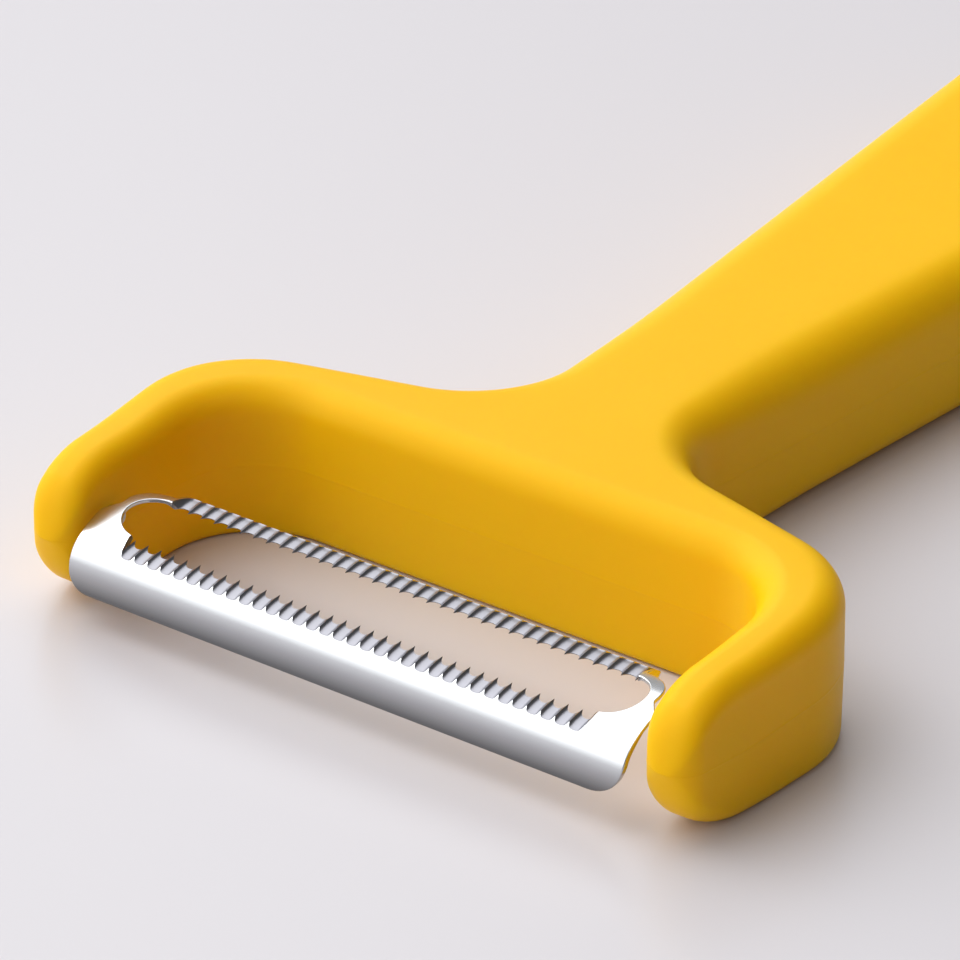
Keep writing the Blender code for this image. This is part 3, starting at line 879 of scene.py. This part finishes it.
    def last_wall(self, side, edge):
        """Where the last scallop's round wall meets the polished face."""
        s = self.sizes
        rise = self.sunk(self.ground_end - s.slot_half) / s.scallop_wall
        reach = WALL_SHARE * s.pitch / 2 * rise ** (1 / SCALLOP_POWER)
        wall = []
        for step in range(1, WALL_STEPS + 1):
            offset = s.pitch / 2 + (reach - s.pitch / 2) * step / WALL_STEPS
            wall.append(Vector((side * (self.row_half - s.pitch / 2 + offset), edge * self.start(offset))))
        return wall

    def add_grid(self, points, outer, hole):
        """Add inner points in rows along the blade, clear of the borders."""
        tree = KDTree(len(points))
        for index, point in enumerate(points):
            tree.insert((*point, 0.0), index)
        tree.balance()
        half_rows = int((self.bend_end + self.sizes.front_lip) / GRID_ROW)
        columns = int(self.sizes.half / GRID_COLUMN)
        for row in range(-half_rows, half_rows + 1):
            for column in range(-columns, columns + 1):
                spot = Vector(((column + 0.5 * (row % 2)) * GRID_COLUMN, row * GRID_ROW))
                if abs(spot.x) < self.row_half and abs(spot.y) < self.strip:
                    continue
                near = tree.find((*spot, 0.0))[2]
                if near > GRID_CLEARANCE and inside(spot, outer) and not inside(spot, hole):
                    points.append(spot)


class Plan:
    """Points and edges of the developed sheet, before it is filled with faces."""

    def __init__(self):
        self.points = []
        self.edges = []

    def add_loop(self, places):
        """Add a closed loop."""
        self.edges += loop_edges(len(self.points), len(places))
        self.points += places

    def add_line(self, places):
        """Add an open line."""
        first = len(self.points)
        self.edges += [(first + step, first + step + 1) for step in range(len(places) - 1)]
        self.points += places


class Patch:
    """Flat mesh of the sheet's outer face, with what the press needs as attributes."""

    def __init__(self):
        self.places = []
        self.depths = []
        self.unders = []
        self.sides = []
        self.faces = []
        self.facings = []
        self.backs = []
        self.grounds = []

    def point(self, place, depth, under, side):
        """Add a point, with the depths cut from both faces there and the direction of an open edge."""
        self.places.append(place)
        self.depths.append(depth)
        self.unders.append(under)
        self.sides.append(side)

    def face(self, corners, facings, backs, ground):
        """Add a face, with the directions that both its sides face at each corner."""
        self.faces.append(corners)
        self.grounds.append(float(ground))
        self.facings += facings
        self.backs += backs

    def build(self, name):
        """The patch as an object."""
        mesh = bpy.data.meshes.new(name)
        mesh.from_pydata([(*place, 0.0) for place in self.places], [], self.faces)
        for title, kind, domain, values in (
                ("depth", "FLOAT", "POINT", self.depths), ("under", "FLOAT", "POINT", self.unders),
                ("side", "FLOAT_VECTOR", "POINT", self.sides), ("ground", "FLOAT", "FACE", self.grounds),
                ("facing", "FLOAT_VECTOR", "CORNER", self.facings),
                ("back", "FLOAT_VECTOR", "CORNER", self.backs)):
            layer = mesh.attributes.new(title, kind, domain)
            if kind == "FLOAT":
                layer.data.foreach_set("value", values)
            else:
                layer.data.foreach_set("vector", [part for value in values for part in value.to_3d()])
        item = bpy.data.objects.new(name, mesh)
        bpy.context.scene.collection.objects.link(item)
        return item


class BladePress(Wiring):
    """Geometry Nodes: repeat the tooth in two rows, give the sheet its thickness and bend it."""

    INPUTS = {
        "Geometry": "NodeSocketGeometry", "Tooth": "NodeSocketObject", "Pitch": "NodeSocketFloat",
        "Count": "NodeSocketInt", "Sheet": "NodeSocketFloat", "Crown Radius": "NodeSocketFloat",
        "Crown Half Angle": "NodeSocketFloat", "Bend Radius": "NodeSocketFloat",
        "Lip Angle": "NodeSocketFloat", "Crown Height": "NodeSocketFloat", "Tilt": "NodeSocketFloat",
        "Pivot": "NodeSocketVector", "Steel": "NodeSocketMaterial"}

    def __init__(self):
        super().__init__(bpy.data.node_groups.new("press blade", "GeometryNodeTree"))
        for name, kind in self.INPUTS.items():
            self.tree.interface.new_socket(name, in_out="INPUT", socket_type=kind)
        self.tree.interface.new_socket("Geometry", in_out="OUTPUT", socket_type="NodeSocketGeometry")
        given = self.tree.nodes.new("NodeGroupInput")
        self.size = {name: Value(self.tree, given.outputs[name]) for name in self.INPUTS}
        bent = self.bend(self.thicken(self.toothed_sheet()))
        whole = self.add("GeometryNodeRealizeInstances", {}, {"Geometry": bent})
        whole = self.add("GeometryNodeSetMaterial", {}, {"Geometry": whole, "Material": self.size["Steel"]})
        result = self.tree.nodes.new("NodeGroupOutput")
        connect(self.tree, whole, result.inputs[0])

    def stored(self, name, kind="FLOAT"):
        """Value of an attribute."""
        return self.add("GeometryNodeInputNamedAttribute", {"data_type": kind}, {"Name": name})

    def store(self, mesh, name, value, domain, kind="FLOAT", chosen=None):
        """Mesh with a value kept as an attribute."""
        return self.add("GeometryNodeStoreNamedAttribute", {"data_type": kind, "domain": domain}, {
            "Geometry": mesh, "Selection": chosen, "Name": name, "Value": value})

    def vector(self, x, y, z):
        """Vector of three values."""
        return self.add("ShaderNodeCombineXYZ", {}, {"X": x, "Y": y, "Z": z})

    def merge(self, *pieces):
        """Pieces joined, with the points that meet made one."""
        node = self.tree.nodes.new("GeometryNodeJoinGeometry")
        for piece in pieces:
            connect(self.tree, piece, node.inputs[0])
        joined = Value(self.tree, node.outputs[0])
        return self.add("GeometryNodeMergeByDistance", {}, {"Geometry": joined, "Distance": MERGE})

    def toothed_sheet(self):
        """Flat outer face with two rows of teeth, the rear one mirrored."""
        size = self.size
        form = self.add("GeometryNodeObjectInfo", {}, {"Object": size["Tooth"]}, "Geometry")
        first = self.vector((1 - size["Count"]) * size["Pitch"] * 0.5, 0.0, 0.0)
        line = self.add("GeometryNodeMeshLine", {"mode": "OFFSET"}, {
            "Count": size["Count"], "Start Location": first,
            "Offset": self.vector(size["Pitch"], 0.0, 0.0)})
        teeth = self.add("GeometryNodeInstanceOnPoints", {}, {"Points": line, "Instance": form})
        front = self.add("GeometryNodeRealizeInstances", {}, {"Geometry": teeth})
        rear = self.add("GeometryNodeTransform", {}, {"Geometry": front, "Scale": (1.0, -1.0, 1.0)})
        rear = self.add("GeometryNodeFlipFaces", {}, {"Mesh": rear})
        for name, domain in (("side", "POINT"), ("facing", "CORNER")):
            x, y, z = self.parts(self.stored(name, "FLOAT_VECTOR"))
            rear = self.store(rear, name, self.vector(x, -1.0 * y, z), domain, "FLOAT_VECTOR")
        return self.merge(size["Geometry"], front, rear)

    def thicken(self, flat):
        """Closed sheet: the outer face, a wall under every open edge, and the inner face."""
        down = self.vector(0.0, 0.0, -1.0 * self.size["Sheet"])
        faces_beside = self.add("GeometryNodeInputMeshEdgeNeighbors")
        self.add("GeometryNodeExtrudeMesh", {"mode": "EDGES"}, {
            "Mesh": flat, "Selection": faces_beside < 1.5, "Offset": down, "Offset Scale": 1.0})
        walled = Value(self.tree, self.last.outputs["Mesh"])
        wall = Value(self.tree, self.last.outputs["Side"])
        outward = self.stored("side", "FLOAT_VECTOR")
        walled = self.store(walled, "facing", outward, "CORNER", "FLOAT_VECTOR", wall)
        lower = self.add("GeometryNodeSetPosition", {}, {"Geometry": flat, "Offset": down})
        back = self.stored("back", "FLOAT_VECTOR")
        lower = self.store(lower, "facing", back, "CORNER", "FLOAT_VECTOR")
        lower = self.store(lower, "ground", 0.0, "FACE")
        lower = self.add("GeometryNodeFlipFaces", {}, {"Mesh": lower})
        return self.merge(walled, lower)

    def bend(self, closed):
        """Press the section over the crown and the bends, and set the blade on its pivot line."""
        size = self.size
        # the position gives way to two attributes: the way across the sheet and the height over it
        x, across, level = self.parts(self.add("GeometryNodeInputPosition"))
        closed = self.store(closed, "across", across, "POINT")
        inner = level < -0.5 * size["Sheet"]
        height = inner * (self.stored("under") - size["Sheet"]) - (1 - inner) * self.stored("depth")
        closed = self.store(closed, "height", height, "POINT")
        run = abs(self.stored("across"))
        side = self.stored("across").sign()
        raised = self.stored("height")
        crown = size["Crown Radius"]
        bend = size["Bend Radius"]
        crown_end = crown * size["Crown Half Angle"]
        bend_end = crown_end + bend * (size["Lip Angle"] - size["Crown Half Angle"])
        crown_turn = run.least(crown_end) / crown
        whole_turn = crown_turn + (run.least(bend_end) - crown_end).most(0.0) / bend
        lip = (run - bend_end).most(0.0)
        reach = (crown * crown_turn.sine() + bend * (whole_turn.sine() - crown_turn.sine())
                 + lip * whole_turn.cosine())
        drop = (crown * (1 - crown_turn.cosine()) + bend * (crown_turn.cosine() - whole_turn.cosine())
                + lip * whole_turn.sine())
        bent = self.vector(x, side * (reach + raised * whole_turn.sine()),
                           size["Crown Height"] - drop + raised * whole_turn.cosine())
        pressed = self.add("GeometryNodeSetPosition", {}, {"Geometry": closed, "Position": bent})
        pressed = self.add("GeometryNodeTransform", {}, {
            "Geometry": pressed, "Translation": size["Pivot"],
            "Rotation": self.vector(size["Tilt"], 0.0, 0.0)})
        # faces shade as the true section, and not as their facets
        angle = side * whole_turn - size["Tilt"]
        along, over, up = self.parts(self.stored("facing", "FLOAT_VECTOR"))
        normal = self.vector(along, over * angle.cosine() + up * angle.sine(),
                             up * angle.cosine() - over * angle.sine())
        return self.add("GeometryNodeSetMeshNormal", {"mode": "FREE", "domain": "CORNER"}, {
            "Mesh": pressed, "Custom Normal": normal})


class PEELER_OT_frame(bpy.types.Operator):
    """Mould the frame: arms, bridge, neck and handle in one piece"""

    bl_idname = "peeler.frame"
    bl_label = "Frame"

    def execute(self, context):
        s = context.scene.peeler_frame
        skin = FrameForm(s).skin()
        bmesh.ops.translate(skin, verts=skin.verts, vec=(0.0, SWIVEL[1], 0.0))
        item = add_object("frame_cast", skin, plastic_material(s))
        cutters = [self.socket_cutter(s, side) for side in (-1, 1)]
        for cutter in cutters:
            modifier = item.modifiers.new("socket", "BOOLEAN")
            modifier.object = cutter
            modifier.solver = "EXACT"
        frame_skin = finished_mesh(item, "frame_skin")
        for cutter in cutters:
            bpy.data.objects.remove(cutter, do_unlink=True)
        frame_skin.data.set_sharp_from_angle(angle=FRAME_CREASE)
        weighted = frame_skin.modifiers.new("even shading", "WEIGHTED_NORMAL")
        weighted.keep_sharp = True
        weighted.weight = FACE_WEIGHT
        frame_skin = finished_mesh(frame_skin, "frame_skin")
        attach(frame_skin, "frame")
        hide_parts("frame")
        return {"FINISHED"}

    def socket_cutter(self, s, side):
        """Rod that cuts the blind pivot socket into an arm."""
        mouth = Vector((side * (s.inner_half - MM), SWIVEL[1], SWIVEL[2]))
        profile = [(s.socket, 0.0), (s.socket, MM + s.socket_depth)]
        return add_object("socket_cutter", rod(mouth, Vector((side, 0.0, 0.0)), profile))


class PEELER_OT_blade(bpy.types.Operator):
    """Grind the teeth, press the sheet to its arched section and add the pivot pins"""

    bl_idname = "peeler.blade"
    bl_label = "Blade"

    def execute(self, context):
        s = context.scene.peeler_blade
        steel = steel_material(s)
        form = SheetForm(s)
        tooth = form.tooth("tooth_form")
        sheet = form.surround("blade_sheet")
        modifier = sheet.modifiers.new("press", "NODES")
        modifier.node_group = BladePress().tree
        inputs = {
            "Tooth": tooth, "Pitch": s.pitch, "Count": s.count, "Sheet": s.sheet, "Crown Radius": s.crown,
            "Crown Half Angle": s.crown_turn, "Bend Radius": s.bend, "Lip Angle": s.lip_turn,
            "Crown Height": s.crown_height, "Tilt": s.tilt,
            "Pivot": (-s.end_shift, SWIVEL[1], SWIVEL[2]), "Steel": steel}
        for item in modifier.node_group.interface.items_tree:
            if item.name in inputs:
                modifier[item.identifier] = inputs[item.name]
        blade = finished_mesh(sheet, "blade_skin")
        bpy.data.objects.remove(tooth, do_unlink=True)
        self.add_pins(blade, s)
        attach(blade, "blade")
        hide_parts("blade")
        return {"FINISHED"}

    def add_pins(self, blade, s):
        """Join a pivot pin to each end of the blade."""
        pins = []
        reach = s.pin_root + s.end_gap + s.pin_reach
        for side in (-1, 1):
            root = Vector((side * (s.half - s.pin_root) - s.end_shift, SWIVEL[1], SWIVEL[2]))
            profile = [(s.pin, 0.0), (s.pin, reach - s.pin_nose), (s.pin - s.pin_nose, reach)]
            solid = rod(root, Vector((side, 0.0, 0.0)), profile)
            pin = add_object("pivot_pin", solid, blade.data.materials[0])
            pin.data.set_sharp_from_angle(angle=PIN_CREASE)
            pins.append(pin)
        with bpy.context.temp_override(active_object=blade, selected_editable_objects=[blade] + pins):
            bpy.ops.object.join()


class PEELER_OT_stage(bpy.types.Operator):
    """Set the camera, the pale floor and the soft lights"""

    bl_idname = "peeler.stage"
    bl_label = "Stage"

    def execute(self, context):
        s = context.scene.peeler_stage
        self.camera(context, s)
        self.floor(s)
        self.world(context)
        self.light("softbox", place=(-0.60, 0.14, 1.05), size=1.5, power=12.0)
        self.light("fill", place=(0.70, -0.50, 0.90), size=0.8, power=1.3)
        return {"FINISHED"}

    def camera(self, context, s):
        """Camera at the photograph's viewing angle."""
        lens = bpy.data.cameras.new("camera")
        lens.lens = s.lens
        lens.sensor_width = 36.0
        lens.clip_start = 0.01
        camera = bpy.data.objects.new("camera", lens)
        camera.location = Vector(s.place) + Vector((0.0, SWIVEL[1], 0.0))
        camera.rotation_euler = (math.pi / 2 - s.elevation, 0.0, s.azimuth)
        context.scene.collection.objects.link(camera)
        context.scene.camera = camera
        context.scene.view_settings.view_transform = "Standard"

    def floor(self, s):
        """Plain pale floor under the peeler."""
        material, wires, surface = new_material("pale_floor")
        shader = wires.add("ShaderNodeBsdfPrincipled", {}, {
            "Base Color": (*s.floor, 1.0), "Roughness": 0.32})
        connect(wires.tree, shader, surface)
        data = bmesh.new()
        bmesh.ops.create_grid(data, x_segments=1, y_segments=1, size=3.0)
        floor = add_object("floor", data, material)

    def world(self, context):
        """Dim room, lit from the left and most of all from in front on the left."""
        world = bpy.data.worlds.new("studio")
        world.use_nodes = True
        context.scene.world = world
        wires = Wiring(world.node_tree)
        place = wires.add("ShaderNodeTexCoord", output="Generated")
        facing = wires.add("ShaderNodeVectorMath", {"operation": "DOT_PRODUCT"}, {
            0: place, 1: BRIGHT_SIDE}, "Value")
        across, _, height = wires.parts(place)
        patch = wires.ease(facing, 0.5, 0.92, low=0.10, high=1.35)
        rise = wires.ease(height, -0.3, 0.45, low=0.35, high=1.0)
        left = (-1.0 * across).most(0.0)
        background = world.node_tree.nodes["Background"]
        connect(wires.tree, (0.98, 0.99, 1.0, 1.0), background.inputs["Color"])
        connect(wires.tree, patch * rise + 0.75 * left, background.inputs["Strength"])

    def light(self, name, place, size, power):
        """A square softbox that faces the blade."""
        data = bpy.data.lights.new(name, "AREA")
        data.size = size
        data.energy = power
        lamp = bpy.data.objects.new(name, data)
        lamp.location = place
        aim = Vector((0.0, SWIVEL[1], 0.0)) - lamp.location
        lamp.rotation_euler = aim.to_track_quat("-Z", "Y").to_euler()
        bpy.context.scene.collection.objects.link(lamp)


class PEELER_PT_panel(bpy.types.Panel):
    """Buttons and sizes for the peeler"""

    bl_idname = "PEELER_PT_panel"
    bl_label = "Vegetable Peeler"
    bl_space_type = "VIEW_3D"
    bl_region_type = "UI"
    bl_category = "Peeler"

    def draw(self, context):
        for operator, settings in ((PEELER_OT_frame, context.scene.peeler_frame),
                                   (PEELER_OT_blade, context.scene.peeler_blade),
                                   (PEELER_OT_stage, context.scene.peeler_stage)):
            box = self.layout.box()
            box.operator(operator.bl_idname)
            for name in settings.__annotations__:
                box.prop(settings, name)


CLASSES = (FrameSettings, BladeSettings, StageSettings,
           PEELER_OT_frame, PEELER_OT_blade, PEELER_OT_stage, PEELER_PT_panel)


def register():
    for item in CLASSES:
        bpy.utils.register_class(item)
    bpy.types.Scene.peeler_frame = bpy.props.PointerProperty(type=FrameSettings)
    bpy.types.Scene.peeler_blade = bpy.props.PointerProperty(type=BladeSettings)
    bpy.types.Scene.peeler_stage = bpy.props.PointerProperty(type=StageSettings)


def unregister():
    del bpy.types.Scene.peeler_stage
    del bpy.types.Scene.peeler_blade
    del bpy.types.Scene.peeler_frame
    for item in reversed(CLASSES):
        bpy.utils.unregister_class(item)


def main():
    """Build the peeler and its stage."""
    register()
    bpy.ops.peeler.stage()
    bpy.ops.peeler.frame()
    bpy.ops.peeler.blade()


if __name__ == "__main__":
    main()
